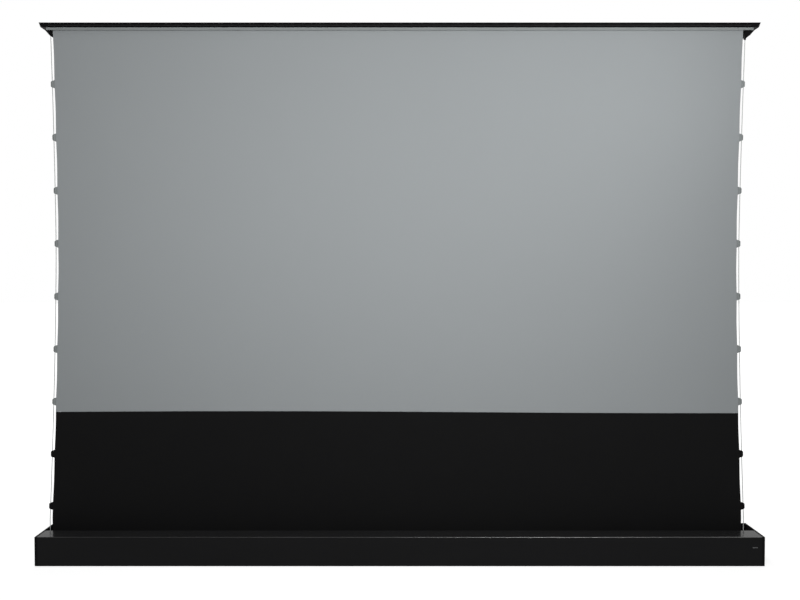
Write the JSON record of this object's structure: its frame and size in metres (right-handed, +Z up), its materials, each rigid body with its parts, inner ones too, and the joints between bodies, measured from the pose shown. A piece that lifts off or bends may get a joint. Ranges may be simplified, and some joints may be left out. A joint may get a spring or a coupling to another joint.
{
  "type": "floor-rising projection screen",
  "caption": "Motor-driven projection screen that rises from a long floor housing on crossed arms, with a side-tensioned grey sheet, a black drop and a lid-like top bar.",
  "frame": {"origin": "middle of the housing's footprint on the floor", "axes": "+X along the screen to the viewer's right, +Y to the back, +Z up; the sheet faces -Y"},
  "size_m": [2.77, 0.195, 2.073],
  "materials": {
    "housing_black": "black anodised, satin, slightly glossy on the shelf",
    "cap_black": "fine-grained moulded plastic",
    "seal_rubber": "matt rubber",
    "window_smoke": "smoked, polished",
    "control_black": "moulded plastic",
    "plated_steel": "zinc plated",
    "rail_alloy": "mill finish extrusion",
    "plug_white": "moulded nylon",
    "arm_black": "black powder coat",
    "screen_grey": "smooth grey optical coating with a faint sheen",
    "drop_black": "matt coated cloth",
    "tab_grey": "coated cloth",
    "cord_grey": "braided cord"
  },
  "bodies": {
    "housing": {"base_tray": "housing_black", "front_cover": "housing_black", "left_end_cap": "cap_black", "right_end_cap": "cap_black", "slot_seal": "seal_rubber", "left_front_foot": "seal_rubber", "left_rear_foot": "seal_rubber", "right_front_foot": "seal_rubber", "right_rear_foot": "seal_rubber", "ir_window": "window_smoke", "control_box": "control_black", "power_inlet": "control_black", "control_socket": "control_black", "idle_bracket": "plated_steel", "motor_bracket": "plated_steel", "left_pivot_bracket": "plated_steel", "right_pivot_bracket": "plated_steel", "left_pivot_pin": "plated_steel", "right_pivot_pin": "plated_steel", "base_rail": "rail_alloy", "tubular_motor": "plated_steel", "view_fabric": "screen_grey", "black_drop": "drop_black", "left_tab_strip": "tab_grey", "right_tab_strip": "tab_grey", "left_cord": "cord_grey", "right_cord": "cord_grey"},
    "roller": {"roller_tube": "rail_alloy", "fabric_wrap": "drop_black", "idle_plug": "plug_white", "drive_plug": "plug_white", "drive_wheel": "plug_white"},
    "top_bar": {"top_lid": "housing_black", "top_beam": "housing_black", "fabric_keder": "plug_white", "top_trim": "tab_grey", "top_rail": "rail_alloy", "left_bar_cap": "cap_black", "right_bar_cap": "cap_black", "left_cord_bracket": "cap_black", "right_cord_bracket": "cap_black", "left_top_bracket": "plated_steel", "right_top_bracket": "plated_steel"},
    "left_lower_drive": {"left_lower_drive_arm": "arm_black", "left_lift_spring": "plated_steel"},
    "left_lower_cross": {"left_lower_cross_arm": "arm_black"},
    "left_upper_drive": {"left_upper_drive_arm": "arm_black"},
    "left_upper_cross": {"left_upper_cross_arm": "arm_black"},
    "left_base_slider": {"left_base_shoe": "plug_white"},
    "left_top_slider": {"left_top_shoe": "plug_white"},
    "right_lower_drive": {"right_lower_drive_arm": "arm_black", "right_lift_spring": "plated_steel"},
    "right_lower_cross": {"right_lower_cross_arm": "arm_black"},
    "right_upper_drive": {"right_upper_drive_arm": "arm_black"},
    "right_upper_cross": {"right_upper_cross_arm": "arm_black"},
    "right_base_slider": {"right_base_shoe": "plug_white"},
    "right_top_slider": {"right_top_shoe": "plug_white"},
    "rocker": {"power_rocker": "control_black"},
    "button": {"manual_button": "control_black"}
  },
  "joints": [
    {"name": "lift", "type": "hinge", "parent": "housing", "child": "left_lower_drive", "pos_m": [-1.18, 0.0558, 0.0353], "axis": [0, 1, 0], "range_deg": [0, 69.47], "deforming": ["view_fabric", "black_drop", "left_tab_strip", "right_tab_strip", "left_cord", "right_cord"]},
    {"name": "left_knee", "type": "hinge", "parent": "left_lower_drive", "child": "left_upper_drive", "pos_m": [-0.83847, 0.0658, 1.03855], "axis": [0, 1, 0], "range_deg": [-138.94, 0]},
    {"name": "bar_pivot", "type": "hinge", "parent": "left_upper_drive", "child": "top_bar", "pos_m": [-1.18, 0.0721, 2.0418], "axis": [0, 1, 0], "range_deg": [0, 69.47]},
    {"name": "left_lower_scissor", "type": "hinge", "parent": "left_lower_drive", "child": "left_lower_cross", "pos_m": [-1.00923, 0.0608, 0.53692], "axis": [0, 1, 0], "range_deg": [-138.94, 0]},
    {"name": "left_base_slide_pivot", "type": "hinge", "parent": "left_lower_cross", "child": "left_base_slider", "pos_m": [-0.83847, 0.0721, 0.0353], "axis": [0, 1, 0], "range_deg": [0, 69.47]},
    {"name": "left_upper_scissor", "type": "hinge", "parent": "left_upper_drive", "child": "left_upper_cross", "pos_m": [-1.00923, 0.0608, 1.54018], "axis": [0, 1, 0], "range_deg": [0, 138.94]},
    {"name": "left_top_slide_pivot", "type": "hinge", "parent": "left_upper_cross", "child": "left_top_slider", "pos_m": [-0.83847, 0.0621, 2.0418], "axis": [0, 1, 0], "range_deg": [-69.47, 0]},
    {"name": "right_base_pivot", "type": "hinge", "parent": "housing", "child": "right_lower_drive", "pos_m": [1.18, 0.0558, 0.0353], "axis": [0, 1, 0], "range_deg": [-69.47, 0]},
    {"name": "right_knee", "type": "hinge", "parent": "right_lower_drive", "child": "right_upper_drive", "pos_m": [0.83847, 0.0658, 1.03855], "axis": [0, 1, 0], "range_deg": [0, 138.94]},
    {"name": "right_lower_scissor", "type": "hinge", "parent": "right_lower_drive", "child": "right_lower_cross", "pos_m": [1.00923, 0.0608, 0.53692], "axis": [0, 1, 0], "range_deg": [0, 138.94]},
    {"name": "right_base_slide_pivot", "type": "hinge", "parent": "right_lower_cross", "child": "right_base_slider", "pos_m": [0.83847, 0.0721, 0.0353], "axis": [0, 1, 0], "range_deg": [-69.47, 0]},
    {"name": "right_upper_scissor", "type": "hinge", "parent": "right_upper_drive", "child": "right_upper_cross", "pos_m": [1.00923, 0.0608, 1.54018], "axis": [0, 1, 0], "range_deg": [-138.94, 0]},
    {"name": "right_top_slide_pivot", "type": "hinge", "parent": "right_upper_cross", "child": "right_top_slider", "pos_m": [0.83847, 0.0621, 2.0418], "axis": [0, 1, 0], "range_deg": [0, 69.47]},
    {"name": "roller_spin", "type": "hinge", "parent": "housing", "child": "roller", "pos_m": [0, -0.004, 0.044], "axis": [-1, 0, 0], "range_deg": [0, 4002]},
    {"name": "rocker_tilt", "type": "hinge", "parent": "housing", "child": "rocker", "pos_m": [1.279, 0.0913, 0.05], "axis": [1, 0, 0], "range_deg": [0, 12]},
    {"name": "button_press", "type": "slide", "parent": "housing", "child": "button", "axis": [0, -1, 0], "range_m": [0, 0.0015], "stiffness_N_per_m": 400, "springref_m": -0.002}
  ],
  "couplings": [
    {"joint": "left_knee", "follows": "lift", "ratio": -2},
    {"joint": "bar_pivot", "follows": "lift", "ratio": 1},
    {"joint": "left_lower_scissor", "follows": "lift", "ratio": -2},
    {"joint": "left_base_slide_pivot", "follows": "lift", "ratio": 1},
    {"joint": "left_upper_scissor", "follows": "lift", "ratio": 2},
    {"joint": "left_top_slide_pivot", "follows": "lift", "ratio": -1},
    {"joint": "right_base_pivot", "follows": "lift", "ratio": -1},
    {"joint": "right_knee", "follows": "lift", "ratio": 2},
    {"joint": "right_lower_scissor", "follows": "lift", "ratio": 2},
    {"joint": "right_base_slide_pivot", "follows": "lift", "ratio": -1},
    {"joint": "right_upper_scissor", "follows": "lift", "ratio": -2},
    {"joint": "right_top_slide_pivot", "follows": "lift", "ratio": 1},
    {"joint": "roller_spin", "follows": "lift", "ratio": 57.6}
  ]
}
